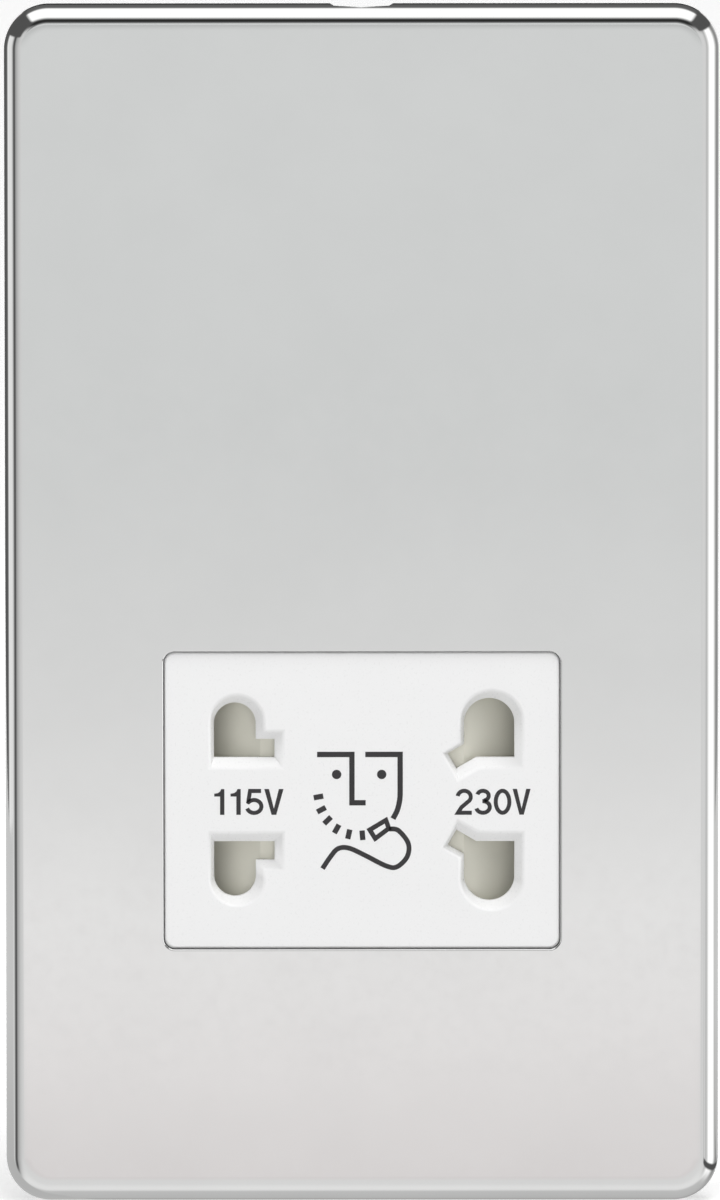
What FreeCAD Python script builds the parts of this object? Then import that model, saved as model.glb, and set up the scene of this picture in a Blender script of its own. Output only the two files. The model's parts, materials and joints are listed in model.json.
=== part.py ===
import FreeCAD
import Part
import math
import os

# Shaver socket with a built-in isolating transformer, for a two-gang wall box.
# Millimetres. X runs to the right, Y into the wall, Z up. The origin lies in the
# wall surface, at the middle of the front plate.

# Front plate: a pressed sheet with a rolled edge and a skirt that meets the wall.
plate_width = 88.0
plate_height = 148.0
plate_projection = 5.0
plate_sheet = 1.0
plate_corner_radius = 5.5
plate_edge_radius = 2.2
window_edge_bevel = 0.2
pry_notch_width = 7.8
pry_notch_front = 1.5
pry_notch_peak = 0.4
pry_notch_slope = 0.5

# Plastic frame glued inside the plate, which grips the edge of the steel frame.
clip_fit = 0.2
clip_web_thickness = 1.6
clip_web_width = 6.5
clip_skirt_thickness = 1.3
clip_skirt_setback = 0.5
clip_tongue_length = 12.0
clip_tongue_spacing = 44.0
clip_grip_gap = 0.05
clip_rest_length = 9.0

# Steel frame that is screwed to the wall box.
frame_margin = 4.0
frame_sheet = 1.5
frame_corner_radius = 4.0
frame_window_gap = 0.3
fixing_pitch = 120.6
fixing_hole_diameter = 4.0

# White socket front.
socket_drop = 24.2
face_width = 48.8
face_height = 36.7
face_corner_radius = 1.3
face_edge_bevel = 0.3
face_recess = 0.4
face_wall = 2.4
window_gap = 0.1
flange_overlap = 2.85
flange_thickness = 1.4
flange_corner_radius = 2.5
body_step = 0.9
body_corner_radius = 2.0
body_wall = 2.5
body_end_wall = 1.25
chamber_depth = 5.6
boss_radius = 2.0
boss_embed = 0.5
boss_pilot_gap = 0.03
rib_thickness = 1.2
rib_height = 5.0
spigot_radius = 1.0
spigot_length = 1.2

# Pin apertures. Distances along Z are from the middle of the socket front.
outlet_offset = 15.7
round_pin_offset = 9.43
slot_inner_edge = 5.2
round_width_115 = 5.16
flat_slot_end = 10.8
flat_slot_height = 2.3
round_width_230 = 6.25
slanted_slot_tilt = 30.0
slanted_slot_width = 2.2
slanted_slot_end_x = 11.1
slanted_slot_end_z = 4.73
mouth_depth = 1.4
mouth_left = 0.45
mouth_right = 1.05
mouth_inner = 1.2
mouth_outer = 1.05

# Sliding shutters behind the apertures.
shutter_cover = 0.6
shutter_play = 0.2
shutter_wall = 1.2
shutter_lip = 1.1
shutter_land = 2.6
shutter_end_margin = 0.85
opening_margin = 0.1
bridge_setback = 1.4
runner_depth = 3.0

# Return springs of the shutters.
spring_outer_radius = 1.5
spring_wire_radius = 0.2
spring_turns = 4.0
spring_pocket_gap = 0.25
spring_pocket_depth = 4.4
spring_end_gap = 0.02

# Switches that each shutter works through a sloped tail.
switch_length = 12.8
switch_thickness = 4.8
switch_depth = 6.5
switch_gap = 0.1
switch_middle_gap = 0.4
switch_setback = 0.6
switch_tag_width = 1.2
switch_tag_thickness = 0.5
switch_tag_length = 4.0
switch_tag_pitch = 4.5
plunger_radius = 0.7
plunger_bore_gap = 0.1
plunger_gap = 0.1
plunger_inset = 0.4
plunger_engagement = 1.6
plunger_stroke = 1.2
cam_start_depth = 3.4

# Socket base, which holds the contacts.
base_lip_x = 2.3
base_lip_z = 1.7
base_fit = 0.2
base_seat_gap = 0.1
base_depth = 13.5
base_corner_radius = 3.0
cavity_margin = 0.4
cavity_floor = 1.5
cavity_wall = 0.6
base_screw_flange = 2.5
base_screw_radius = 0.95
base_screw_hole_gap = 0.2
base_screw_head_radius = 1.9
base_screw_head_height = 1.4
base_screw_reach = 7.0
base_screw_access = 0.8

# Contact springs: bent strips with a leaf on each side of the pins.
contact_thickness = 0.5
contact_width = 5.4
contact_clearance = 0.25
contact_bow = 1.1
contact_tip_setback = 1.1
contact_tail_width = 2.4
contact_tail_length = 5.4
contact_tail_gap = 0.25

# Transformer: laminated core, split bobbin and two windings.
transformer_rise = 25.4
core_width = 48.0
core_height = 40.0
core_stack = 18.0
core_front = 11.0
core_leg = 8.0
core_hole_radius = 1.7
core_screw_inset = 4.0
core_screw_radius = 1.5
core_screw_head_radius = 2.7
core_screw_head_height = 2.0
core_screw_reach = 6.0
bobbin_fit = 0.2
bobbin_wall = 1.0
bobbin_side_gap = 0.3
bobbin_overhang = 7.6
bobbin_corner_radius = 2.0
winding_inset = 0.6
winding_gap = 0.05
winding_corner_radius = 4.0
tag_shelf_width = 26.0
tag_shelf_depth = 4.6
tag_shelf_height = 3.0
tag_count = 5
tag_pitch = 5.0
tag_width = 1.2
tag_thickness = 0.6
tag_length = 6.6
tag_embed = 1.8
cutout_width = 15.0
cutout_height = 6.5
cutout_thickness = 2.8
cutout_edge_radius = 0.8

# Rear housing.
housing_width = 62.0
housing_height = 104.0
housing_wall = 1.8
housing_shallow = 24.0
housing_deep = 40.0
housing_step_low = -2.0
housing_step_high = 6.0
housing_corner_radius = 3.0
housing_edge_bevel = 1.2
housing_screw_inset_x = 5.0
housing_screw_inset_z = 3.0
housing_boss_radius = 3.4
housing_boss_depth = 10.0
housing_screw_radius = 1.4
housing_screw_hole_gap = 0.25
housing_screw_head_radius = 2.7
housing_screw_head_height = 1.5
housing_screw_reach = 7.5
pillar_radius = 3.0
pilot_gap = 0.03

# Terminal block on the back of the housing.
terminal_pitch = 14.0
terminal_ways = 3
block_end_wall = 3.0
block_depth = 13.0
block_height = 20.0
block_middle_z = -36.0
block_edge_radius = 1.0
block_edge_bevel = 0.5
block_floor = 2.5
block_ear_length = 8.0
block_ear_height = 9.0
block_ear_thickness = 3.0
block_screw_radius = 1.4
block_screw_hole_gap = 0.2
block_screw_head_radius = 2.7
block_screw_head_height = 1.8
block_screw_reach = 4.0
block_boss_radius = 2.8
block_boss_height = 3.6
pillar_block_width = 8.0
pillar_block_depth = 8.0
pillar_block_height = 14.0
pillar_block_setback = 3.0
pillar_block_fit = 0.1
wire_bore_radius = 1.8
wire_bore_depth = 10.0
terminal_tail_width = 4.0
terminal_tail_thickness = 1.0
terminal_tail_reach = 2.2
terminal_screw_radius = 1.7
terminal_screw_gap = 0.05
terminal_screw_rise = 5.0
terminal_screw_tip_gap = 0.3
terminal_screw_head_radius = 2.6
terminal_screw_head_height = 1.8
terminal_screw_lift = 0.3
slot_width = 0.8
slot_depth = 0.8

# Earth strap between the middle terminal and the steel frame.
strap_width = 5.0
strap_thickness = 0.8
strap_wall_gap = 0.5
strap_drop = 1.2
strap_foot = 7.0
rivet_radius = 1.5
rivet_hole_gap = 0.05
rivet_head_radius = 2.6
rivet_head_height = 0.7

# Planes and half sizes that follow from the sizes above.
plate_front = -plate_projection
plate_back = plate_front + plate_sheet
plate_inner_bevel = (plate_edge_radius - plate_sheet) * (2 - math.sqrt(2))
frame_front = -frame_sheet
frame_width = plate_width - 2 * frame_margin
frame_height = plate_height - 2 * frame_margin
face_front = plate_front + face_recess
wall_back = face_front + face_wall
flange_front = frame_front - flange_thickness
body_back = wall_back + chamber_depth
window_width = face_width + 2 * window_gap
window_height = face_height + 2 * window_gap
flange_width = window_width + 2 * flange_overlap
flange_height = window_height + 2 * flange_overlap
body_width = face_width + 2 * body_step
body_height = face_height + 2 * body_step
chamber_width = body_width - 2 * body_wall
chamber_height = body_height - 2 * body_end_wall
slot_tilt = math.radians(slanted_slot_tilt)
slot_tip_x = slanted_slot_end_x - math.sin(slot_tilt) * slanted_slot_width / 2
slot_tip_z = slanted_slot_end_z - math.cos(slot_tilt) * slanted_slot_width / 2
shutter_front = wall_back + shutter_play
shutter_back = body_back - shutter_play
shutter_outer = outlet_offset + round_width_230 / 2 + shutter_cover
shutter_inner = slot_tip_x - shutter_cover
shutter_travel = shutter_outer - slot_tip_x + opening_margin
pad_low = slot_tip_z - shutter_cover / 2
pad_high = round_pin_offset + round_width_230 / 2 + shutter_end_margin
tail_top = chamber_height / 2 - shutter_play
boss_x = shutter_outer + shutter_play + boss_radius
boss_z = chamber_height / 2 - boss_radius + boss_embed
bridge_inner = shutter_inner + bridge_setback
pocket_end = bridge_inner + spring_pocket_depth
spring_y = (shutter_front + shutter_back) / 2
cam_slope = plunger_stroke / shutter_travel
plunger_x = shutter_inner + plunger_inset
cam_y = shutter_front + cam_start_depth
base_floor = body_back + base_seat_gap
base_back = base_floor + base_depth
base_width = body_width + 2 * base_lip_x
base_height = body_height + 2 * base_lip_z
cavity_back = base_back - cavity_floor
cavity_inner = slot_tip_x - cavity_margin
cavity_outer = outlet_offset + round_width_230 / 2 + cavity_margin
cavity_low = slot_inner_edge - 2 * cavity_margin
cavity_high = round_pin_offset + round_width_230 / 2 + cavity_margin / 4
switch_pocket_low = cavity_high + cavity_wall
switch_low = switch_pocket_low + switch_gap
switch_high = switch_low + switch_thickness
switch_middle = (switch_low + switch_high) / 2
switch_front = base_floor + switch_setback
switch_back = switch_front + switch_depth
core_back = core_front + core_stack
window_half = core_width / 2 - core_leg
core_screw_x = core_width / 2 - core_screw_inset
core_screw_z = core_height / 2 - core_screw_inset
bobbin_half_height = core_height / 2 - core_leg - bobbin_fit
bobbin_half_width = window_half - bobbin_side_gap
bobbin_front = core_front - bobbin_overhang
bobbin_back = core_back + bobbin_overhang
tube_half_width = core_leg + bobbin_fit + bobbin_wall
tube_front = core_front - bobbin_fit - bobbin_wall
tube_back = core_back + bobbin_fit + bobbin_wall
winding_front = bobbin_front + winding_inset
housing_screw_x = housing_width / 2 - housing_screw_inset_x
housing_screw_z = housing_height / 2 - housing_screw_inset_z
deep_inside = housing_deep - housing_wall
shallow_inside = housing_shallow - housing_wall
block_width = (terminal_ways - 1) * terminal_pitch + pillar_block_width + 2 * block_end_wall
block_back = housing_shallow + block_depth
block_low = block_middle_z - block_height / 2
block_high = block_middle_z + block_height / 2
block_screw_x = block_width / 2 + block_ear_length / 2
pillar_front = housing_shallow + block_floor
pillar_back = pillar_front + pillar_block_depth
pillar_low = block_low + pillar_block_setback
pillar_high = pillar_low + pillar_block_height
wire_y = (pillar_front + pillar_back) / 2
terminal_screw_z = pillar_low + terminal_screw_rise
terminal_tip = wire_y + wire_bore_radius + terminal_screw_tip_gap
terminal_head = pillar_back + terminal_screw_lift
tail_end = shallow_inside - terminal_tail_reach
strap_back = shallow_inside - strap_wall_gap
strap_shelf = transformer_rise - core_height / 2 - strap_drop - strap_thickness


def vector(x, y, z):
    return FreeCAD.Vector(x, y, z)


along_x = vector(1, 0, 0)
along_y = vector(0, 1, 0)
along_z = vector(0, 0, 1)
middle = vector(0, 0, 0)


def block(x_low, x_high, y_low, y_high, z_low, z_high):
    """A plain box between two opposite corners."""
    return Part.makeBox(x_high - x_low, y_high - y_low, z_high - z_low, vector(x_low, y_low, z_low))


def edges_along(shape, direction):
    """The straight edges of a shape that run in one direction."""
    found = []
    for edge in shape.Edges:
        span = edge.Vertexes[-1].Point - edge.Vertexes[0].Point
        if span.Length > 1e-6 and abs(span.dot(direction)) > 0.999 * span.Length:
            found.append(edge)
    return found


def edges_at(shape, y):
    """The edges of a shape that lie in the plane at y."""
    return [e for e in shape.Edges if abs(e.BoundBox.YMin - y) < 1e-6 and abs(e.BoundBox.YMax - y) < 1e-6]


def slab(width, height, radius, y_low, y_high):
    """A plate with rounded corners, centred on the Y axis."""
    plain = block(-width / 2, width / 2, y_low, y_high, -height / 2, height / 2)
    return plain.makeFillet(radius, edges_along(plain, along_y))


def rod_y(x, z, radius, y_low, y_high):
    return Part.makeCylinder(radius, y_high - y_low, vector(x, y_low, z), along_y)


def rod_x(y, z, radius, x_low, x_high):
    return Part.makeCylinder(radius, x_high - x_low, vector(x_low, y, z), along_x)


def rod_z(x, y, radius, z_low, z_high):
    return Part.makeCylinder(radius, z_high - z_low, vector(x, y, z_low), along_z)


def extrude_xy(corners, z_low, z_high):
    """A prism along Z over a closed outline given as X, Y corners."""
    points = [vector(x, y, z_low) for x, y in corners]
    outline = Part.makePolygon(points + points[:1])
    return Part.Face(outline).extrude(along_z * (z_high - z_low))


def extrude_yz(corners, x_low, x_high):
    """A prism along X over a closed outline given as Y, Z corners."""
    points = [vector(x_low, y, z) for y, z in corners]
    outline = Part.makePolygon(points + points[:1])
    return Part.Face(outline).extrude(along_x * (x_high - x_low))


def bent_strip(path, thickness, x_low, x_high):
    """A strip of even thickness, bent along a path of Y, Z points and as wide as the X range."""
    near_side = []
    far_side = []
    points = [vector(0, y, z) for y, z in path]
    for index, point in enumerate(points):
        arriving = (point - points[index - 1]) if index > 0 else (points[1] - point)
        leaving = (points[index + 1] - point) if index < len(points) - 1 else arriving
        first = along_x.cross(arriving).normalize()
        second = along_x.cross(leaving).normalize()
        shift = (first + second) * (thickness / 2 / (1 + first.dot(second)))
        near_side.append(((point + shift).y, (point + shift).z))
        far_side.append(((point - shift).y, (point - shift).z))
    return extrude_yz(near_side + far_side[::-1], x_low, x_high)


def joined(shapes):
    """One solid out of shapes that touch or overlap."""
    return shapes[0].fuse(shapes[1:]).removeSplitter().Solids[0]


def mirrored_x(shape):
    return shape.mirror(middle, along_x)


def mirrored_z(shape):
    return shape.mirror(middle, along_z)


def at_corners(make, x, z):
    """The same shape made at four places, mirrored left to right and top to bottom."""
    return [make(-x, -z), make(x, -z), make(-x, z), make(x, z)]


def at_socket(shape):
    """Moves a shape drawn around the middle of the socket front to its place on the plate."""
    return shape.translated(vector(0, 0, -socket_drop))


def at_transformer(shape):
    """Moves a shape drawn around the middle of the transformer to its place in the housing."""
    return shape.translated(vector(0, 0, transformer_rise))


def keep(name, shapes):
    """Writes a piece, or a set of equal pieces, as a file of its own."""
    shape = Part.makeCompound(shapes) if len(shapes) > 1 else shapes[0]
    shape.exportStep("parts/" + name + ".step")


def screw_y(x, z, head_y, toward, radius, head_radius, head_height, reach):
    """A cheese-head screw on a line along Y. It points forward where toward is -1 and back where it is 1."""
    shank = Part.makeCylinder(radius, reach, vector(x, head_y, z), along_y * toward)
    head = Part.makeCylinder(head_radius, head_height, vector(x, head_y, z), along_y * -toward)
    crown_y = head_y - toward * head_height
    slot_low = min(crown_y, crown_y + toward * slot_depth)
    slot = block(
        x - head_radius,
        x + head_radius,
        slot_low,
        slot_low + slot_depth,
        z - slot_width / 2,
        z + slot_width / 2,
    )
    return joined([shank, head]).cut(slot)


def make_front_plate():
    outside = slab(plate_width, plate_height, plate_corner_radius, plate_front, 0)
    outside = outside.makeFillet(plate_edge_radius, edges_at(outside, plate_front))
    inside = slab(
        plate_width - 2 * plate_sheet,
        plate_height - 2 * plate_sheet,
        plate_corner_radius - plate_sheet,
        plate_back,
        plate_projection,
    )
    inside = inside.makeChamfer(plate_inner_bevel, edges_at(inside, plate_back))
    window = slab(
        window_width,
        window_height,
        face_corner_radius + window_gap,
        plate_front - plate_sheet,
        plate_back + plate_sheet,
    )
    notch_end = plate_front + pry_notch_front
    notch_corners = [
        (-pry_notch_width / 2, plate_sheet),
        (-pry_notch_width / 2, 0),
        (-pry_notch_width / 2 + pry_notch_slope, notch_end),
        (0, notch_end - pry_notch_peak),
        (pry_notch_width / 2 - pry_notch_slope, notch_end),
        (pry_notch_width / 2, 0),
        (pry_notch_width / 2, plate_sheet),
    ]
    notch = extrude_xy(notch_corners, plate_height / 2 - 2 * plate_sheet, plate_height)
    plate = outside.cut([inside, at_socket(window), notch]).removeSplitter().Solids[0]
    rim = []
    for edge in edges_at(plate, plate_front):
        across = edge.BoundBox
        if abs(across.Center.x) < window_width / 2 + 1 and across.ZMax < window_height / 2:
            if across.ZMin > -socket_drop - window_height / 2 - 1:
                rim.append(edge)
    return plate.makeChamfer(window_edge_bevel, rim)


def make_clip_frame():
    width = plate_width - 2 * plate_sheet - 2 * clip_fit
    height = plate_height - 2 * plate_sheet - 2 * clip_fit
    corner = plate_corner_radius - plate_sheet - clip_fit
    outside = slab(width, height, corner, plate_back, -clip_skirt_setback)
    outside = outside.makeChamfer(plate_inner_bevel, edges_at(outside, plate_back))
    web_back = plate_back + clip_web_thickness
    hollow = slab(
        width - 2 * clip_skirt_thickness,
        height - 2 * clip_skirt_thickness,
        corner - clip_skirt_thickness,
        web_back,
        plate_projection,
    )
    window = slab(
        width - 2 * clip_web_width,
        height - 2 * clip_web_width,
        corner,
        plate_front,
        plate_projection,
    )
    frame = outside.cut([hollow, window])
    skirt_x = width / 2 - clip_skirt_thickness
    skirt_z = height / 2 - clip_skirt_thickness
    grip_x = frame_width / 2 + clip_grip_gap
    grip_z = frame_height / 2 + clip_grip_gap
    half = clip_tongue_length / 2
    pieces = [frame]
    for place in (-clip_tongue_spacing, 0, clip_tongue_spacing):
        tongue = block(grip_x, skirt_x, web_back, -clip_skirt_setback, place - half, place + half)
        rest = block(
            skirt_x - clip_web_width + clip_skirt_thickness,
            skirt_x,
            web_back,
            frame_front,
            place - clip_rest_length / 2,
            place + clip_rest_length / 2,
        )
        pieces += [tongue, mirrored_x(tongue), rest, mirrored_x(rest)]
    end_tongue = block(-half, half, web_back, -clip_skirt_setback, grip_z, skirt_z)
    pieces += [end_tongue, mirrored_z(end_tongue)]
    return joined(pieces)


def make_mounting_frame():
    frame = slab(frame_width, frame_height, frame_corner_radius, frame_front, 0)
    window = slab(
        body_width + 2 * frame_window_gap,
        body_height + 2 * frame_window_gap,
        body_corner_radius + frame_window_gap,
        frame_front - frame_sheet,
        frame_sheet,
    )
    cuts = [at_socket(window)]
    for z in (-fixing_pitch / 2, fixing_pitch / 2):
        cuts.append(rod_y(0, z, fixing_hole_diameter / 2, frame_front - 1, 1))
    screw_hole = housing_screw_radius + housing_screw_hole_gap
    cuts += at_corners(
        lambda x, z: rod_y(x, z, screw_hole, frame_front - 1, 1), housing_screw_x, housing_screw_z
    )
    cuts.append(rod_y(0, strap_shelf + strap_foot / 2, rivet_radius + rivet_hole_gap, frame_front - 1, 1))
    return frame.cut(cuts)


def arched_outline(corners, crown_x, crown_z, y):
    """A closed outline at depth y: straight sides through the corners, then an arch back to the first."""
    points = [vector(x, y, z) for x, z in corners]
    sides = [Part.makeLine(start, end) for start, end in zip(points, points[1:])]
    arch = Part.Arc(points[-1], vector(crown_x, y, crown_z), points[0]).toShape()
    return Part.Wire(sides + [arch])


def outline_115(y, left_grow, right_grow, inner_grow, outer_grow):
    """Upper 115 V aperture: a round pin hole with a flat slot towards the middle."""
    half = round_width_115 / 2
    left = -outlet_offset - half - left_grow
    right = -outlet_offset + half + right_grow
    low = slot_inner_edge - inner_grow
    slot_top = slot_inner_edge + flat_slot_height + outer_grow
    slot_end = -flat_slot_end + right_grow
    corners = [
        (left, round_pin_offset),
        (left, low),
        (slot_end, low),
        (slot_end, slot_top),
        (right, slot_top),
        (right, round_pin_offset),
    ]
    return arched_outline(corners, (left + right) / 2, round_pin_offset + half + outer_grow, y)


def outline_230(y, left_grow, right_grow, inner_grow, outer_grow):
    """Upper 230 V aperture: a round pin hole with a slanted slot towards the middle."""
    half = round_width_230 / 2
    left = outlet_offset - half - left_grow
    right = outlet_offset + half + right_grow
    low = slot_inner_edge - inner_grow
    end_x = slanted_slot_end_x - left_grow * math.cos(slot_tilt)
    end_z = slanted_slot_end_z - left_grow * math.sin(slot_tilt)
    upper_half = slanted_slot_width / 2 + left_grow
    lower_half = slanted_slot_width / 2 + inner_grow
    upper_x = end_x - upper_half * math.sin(slot_tilt)
    upper_z = end_z + upper_half * math.cos(slot_tilt)
    lower_x = end_x + lower_half * math.sin(slot_tilt)
    lower_z = end_z - lower_half * math.cos(slot_tilt)
    corners = [
        (left, round_pin_offset),
        (left, upper_z + (left - upper_x) * math.tan(slot_tilt)),
        (upper_x, upper_z),
        (lower_x, lower_z),
        (lower_x + (low - lower_z) / math.tan(slot_tilt), low),
        (right, low),
        (right, round_pin_offset),
    ]
    return arched_outline(corners, (left + right) / 2, round_pin_offset + half + outer_grow, y)


def aperture(outline):
    """The space of one pin aperture: a funnel at the face, then a straight hole through the wall."""
    mouth = outline(face_front, mouth_left, mouth_right, mouth_inner, mouth_outer)
    throat = outline(face_front + mouth_depth, 0, 0, 0, 0)
    funnel = Part.makeLoft([mouth, throat], True, True)
    hole = Part.Face(throat).extrude(along_y * face_wall)
    return funnel.fuse(hole)


def make_socket_front():
    face = slab(face_width, face_height, face_corner_radius, face_front, body_back)
    face = face.makeChamfer(face_edge_bevel, edges_at(face, face_front))
    flange = slab(flange_width, flange_height, flange_corner_radius, flange_front, frame_front)
    body = slab(body_width, body_height, body_corner_radius, flange_front, body_back)
    outside = joined([face, flange, body])
    chamber = block(
        -chamber_width / 2,
        chamber_width / 2,
        wall_back,
        body_back + 1,
        -chamber_height / 2,
        chamber_height / 2,
    )
    shell = outside.cut(chamber)
    rib = block(
        -rib_thickness / 2,
        rib_thickness / 2,
        wall_back,
        shutter_back,
        -rib_height / 2,
        rib_height / 2,
    )
    spigot_end = rib_thickness / 2 + spigot_length
    spigots = rod_x(spring_y, 0, spigot_radius, -spigot_end, spigot_end)
    bosses = at_corners(lambda x, z: rod_y(x, z, boss_radius, wall_back, body_back), boss_x, boss_z)
    front = joined([shell, rib, spigots] + bosses)
    pilot = base_screw_radius + boss_pilot_gap
    cuts = at_corners(lambda x, z: rod_y(x, z, pilot, shutter_front, body_back + 1), boss_x, boss_z)
    for outline in (outline_115, outline_230):
        upper = aperture(outline)
        cuts += [upper, mirrored_z(upper)]
    return front.cut(cuts).Solids[0]


def make_shutter():
    """The 230 V shutter: two ramps, joined by a bridge that takes the spring, and a sloped tail."""
    ramp_top = shutter_inner + shutter_land
    pad_corners = [
        (shutter_inner, shutter_front),
        (ramp_top, shutter_front),
        (shutter_outer, shutter_back - shutter_lip),
        (shutter_outer, shutter_back),
        (shutter_inner, shutter_back),
    ]
    hollow_corners = [
        (shutter_inner + shutter_wall, shutter_front + shutter_wall),
        (ramp_top, shutter_front + shutter_wall),
        (shutter_outer - shutter_wall, shutter_back),
        (shutter_outer - shutter_wall, shutter_back + 1),
        (shutter_inner + shutter_wall, shutter_back + 1),
    ]
    pad = extrude_xy(pad_corners, pad_low, pad_high)
    hollow = extrude_xy(hollow_corners, pad_low + shutter_wall, pad_high - shutter_wall)
    bridge = block(bridge_inner, shutter_outer, shutter_front, shutter_back, -pad_low, pad_low)
    runner = block(
        shutter_inner,
        shutter_outer,
        shutter_front,
        shutter_front + runner_depth,
        -tail_top,
        -pad_high,
    )
    tail_corners = [
        (shutter_inner, shutter_front),
        (shutter_outer, shutter_front),
        (shutter_outer, cam_y + cam_slope * (shutter_outer - plunger_x)),
        (shutter_inner, cam_y + cam_slope * (shutter_inner - plunger_x)),
    ]
    tail = extrude_xy(tail_corners, pad_high, tail_top)
    shutter = joined([pad, mirrored_z(pad), bridge, runner, tail])
    pocket = rod_x(spring_y, 0, spring_outer_radius + spring_pocket_gap, bridge_inner - 1, pocket_end)
    return shutter.cut([hollow, mirrored_z(hollow), pocket]).Solids[0]


def make_shutter_spring():
    """A coil from the rib to the bottom of the 230 V shutter's pocket."""
    start = rib_thickness / 2 + spring_end_gap + spring_wire_radius
    length = pocket_end - spring_end_gap - spring_wire_radius - start
    coil_radius = spring_outer_radius - spring_wire_radius
    path = Part.makeHelix(length / spring_turns, length, coil_radius)
    corners = []
    for index in range(5):
        turn = index * math.pi / 2
        reach = coil_radius + spring_wire_radius * math.cos(turn)
        corners.append(vector(reach, 0, spring_wire_radius * math.sin(turn)))
    coil = Part.Wire(path.Edges).makePipeShell([Part.makePolygon(corners)], True, True)
    coil.rotate(middle, along_y, 90)
    return coil.translated(vector(start, spring_y, 0))


def make_switch():
    """The 230 V switch: a small moulded body, with its plunger in a bore at the front."""
    left = switch_middle_gap
    body = block(left, left + switch_length, switch_front, switch_back, switch_low, switch_high)
    bore_depth = plunger_engagement + plunger_stroke + plunger_radius
    bore = rod_y(
        plunger_x,
        switch_middle,
        plunger_radius + plunger_bore_gap,
        switch_front - 1,
        switch_front + bore_depth,
    )
    seam = edges_at(body, switch_front)
    return body.makeChamfer(switch_gap * 3, seam).cut(bore)


def make_switch_tags():
    """Three solder tags at the back of the 230 V switch."""
    centre = switch_middle_gap + switch_length / 2
    tags = []
    for place in (-1, 0, 1):
        x = centre + place * switch_tag_pitch
        tags.append(
            block(
                x - switch_tag_width / 2,
                x + switch_tag_width / 2,
                switch_back,
                switch_back + switch_tag_length,
                switch_middle - switch_tag_thickness / 2,
                switch_middle + switch_tag_thickness / 2,
            )
        )
    return tags


def make_plunger():
    """The 230 V switch's plunger, with a round tip just clear of the shutter's sloped tail."""
    tip_y = cam_y + (plunger_radius + plunger_gap) * math.sqrt(1 + cam_slope**2)
    pin = rod_y(plunger_x, switch_middle, plunger_radius, tip_y, switch_front + plunger_engagement)
    tip = Part.makeSphere(plunger_radius, vector(plunger_x, tip_y, switch_middle))
    return joined([pin, tip])


def make_socket_base():
    base = slab(base_width, base_height, base_corner_radius, 0, base_back)
    recess = slab(
        body_width + 2 * base_fit,
        body_height + 2 * base_fit,
        body_corner_radius + base_fit,
        -1,
        base_floor,
    )
    cavity = block(cavity_inner, cavity_outer, base_floor - 1, cavity_back, cavity_low, cavity_high)
    contact_middle = (cavity_low + cavity_high) / 2
    tail_half = contact_tail_width / 2 + contact_tail_gap
    tail_slot = block(
        outlet_offset - tail_half,
        outlet_offset + tail_half,
        cavity_back - 1,
        base_back + 1,
        contact_middle - contact_thickness / 2 - contact_tail_gap,
        contact_middle + contact_thickness / 2 + contact_tail_gap,
    )
    switch_pocket = block(
        switch_middle_gap - switch_gap,
        switch_middle_gap + switch_length + switch_gap,
        base_floor - 1,
        switch_back,
        switch_low - switch_gap,
        switch_high + switch_gap,
    )
    tag_space = block(
        switch_middle_gap + switch_gap * 4,
        switch_middle_gap + switch_length - switch_gap * 4,
        switch_back - 1,
        base_back + 1,
        switch_low + switch_gap * 4,
        switch_high - switch_gap * 4,
    )
    access = base_screw_head_radius + base_screw_access
    corner_access = block(
        boss_x - access,
        base_width,
        base_floor + base_screw_flange,
        base_back + 1,
        boss_z - access,
        base_height,
    )
    one_side = [cavity, mirrored_z(cavity), tail_slot, mirrored_z(tail_slot)]
    one_side += [switch_pocket, tag_space, corner_access, mirrored_z(corner_access)]
    hole = base_screw_radius + base_screw_hole_gap
    cuts = at_corners(lambda x, z: rod_y(x, z, hole, base_floor - 1, base_back), boss_x, boss_z)
    cuts += [recess] + one_side + [mirrored_x(shape) for shape in one_side]
    return base.cut(cuts).removeSplitter().Solids[0]


def make_contact():
    """The upper 230 V contact: two bowed leaves, the strip between them and a solder tail."""
    half = contact_thickness / 2
    inner_leaf = cavity_low + contact_clearance + half
    outer_leaf = cavity_high - contact_clearance - half
    bend = cavity_back - contact_clearance - half
    tip = base_floor + contact_tip_setback
    bow = tip + (bend - tip) / 3
    straight = tip + (bend - tip) * 2 / 3
    path = [
        (tip, inner_leaf),
        (bow, inner_leaf + contact_bow),
        (straight, inner_leaf),
        (bend, inner_leaf),
        (bend, outer_leaf),
        (straight, outer_leaf),
        (bow, outer_leaf - contact_bow),
        (tip, outer_leaf),
    ]
    clip = bent_strip(
        path, contact_thickness, outlet_offset - contact_width / 2, outlet_offset + contact_width / 2
    )
    contact_middle = (cavity_low + cavity_high) / 2
    tail = block(
        outlet_offset - contact_tail_width / 2,
        outlet_offset + contact_tail_width / 2,
        bend,
        bend + contact_tail_length,
        contact_middle - half,
        contact_middle + half,
    )
    return joined([clip, tail])


def make_base_screws():
    head_y = base_floor + base_screw_flange
    return at_corners(
        lambda x, z: screw_y(
            x,
            z,
            head_y,
            -1,
            base_screw_radius,
            base_screw_head_radius,
            base_screw_head_height,
            base_screw_reach,
        ),
        boss_x,
        boss_z,
    )


def core_holes():
    return at_corners(
        lambda x, z: rod_y(x, z, core_hole_radius, core_front - 1, core_back + 1),
        core_screw_x,
        core_screw_z,
    )


def make_core_e_stack():
    """Back yoke below and three legs that stand up from it."""
    low = -core_height / 2
    split = core_height / 2 - core_leg
    side = core_width / 2
    yoke = block(-side, side, core_front, core_back, low, low + core_leg)
    centre = block(-core_leg, core_leg, core_front, core_back, low, split)
    leg = block(side - core_leg, side, core_front, core_back, low, split)
    return joined([yoke, centre, leg, mirrored_x(leg)]).cut(core_holes())


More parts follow.
